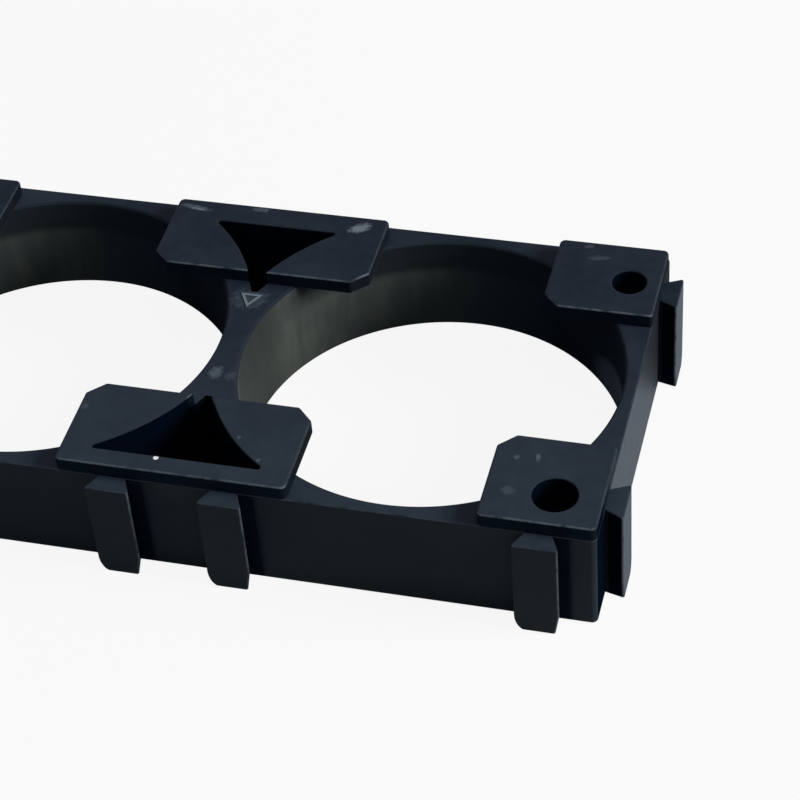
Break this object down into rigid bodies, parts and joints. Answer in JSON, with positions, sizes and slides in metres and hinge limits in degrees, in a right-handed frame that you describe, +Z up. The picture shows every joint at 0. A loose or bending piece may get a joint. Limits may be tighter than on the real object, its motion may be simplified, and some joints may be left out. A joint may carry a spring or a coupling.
{
  "type": "battery cell holder bracket",
  "caption": "Flat black plastic bracket with round bores for battery cells, retaining tabs with screw holes, and dovetail ribs and slots that join like brackets side by side.",
  "frame": {"origin": "under the middle of the neck between the two bores, on the plane that the frame stands on", "axes": "+X along the row of cells towards the ribbed end, +Y across it towards the slotted side, +Z up through the bores towards the tabs"},
  "size_m": [0.0714, 0.0364, 0.011],
  "materials": {
    "black_plastic": "satin moulded black plastic, lightly scuffed"
  },
  "bodies": {
    "root": {"cell_bracket": "black_plastic"}
  },
  "joints": []
}
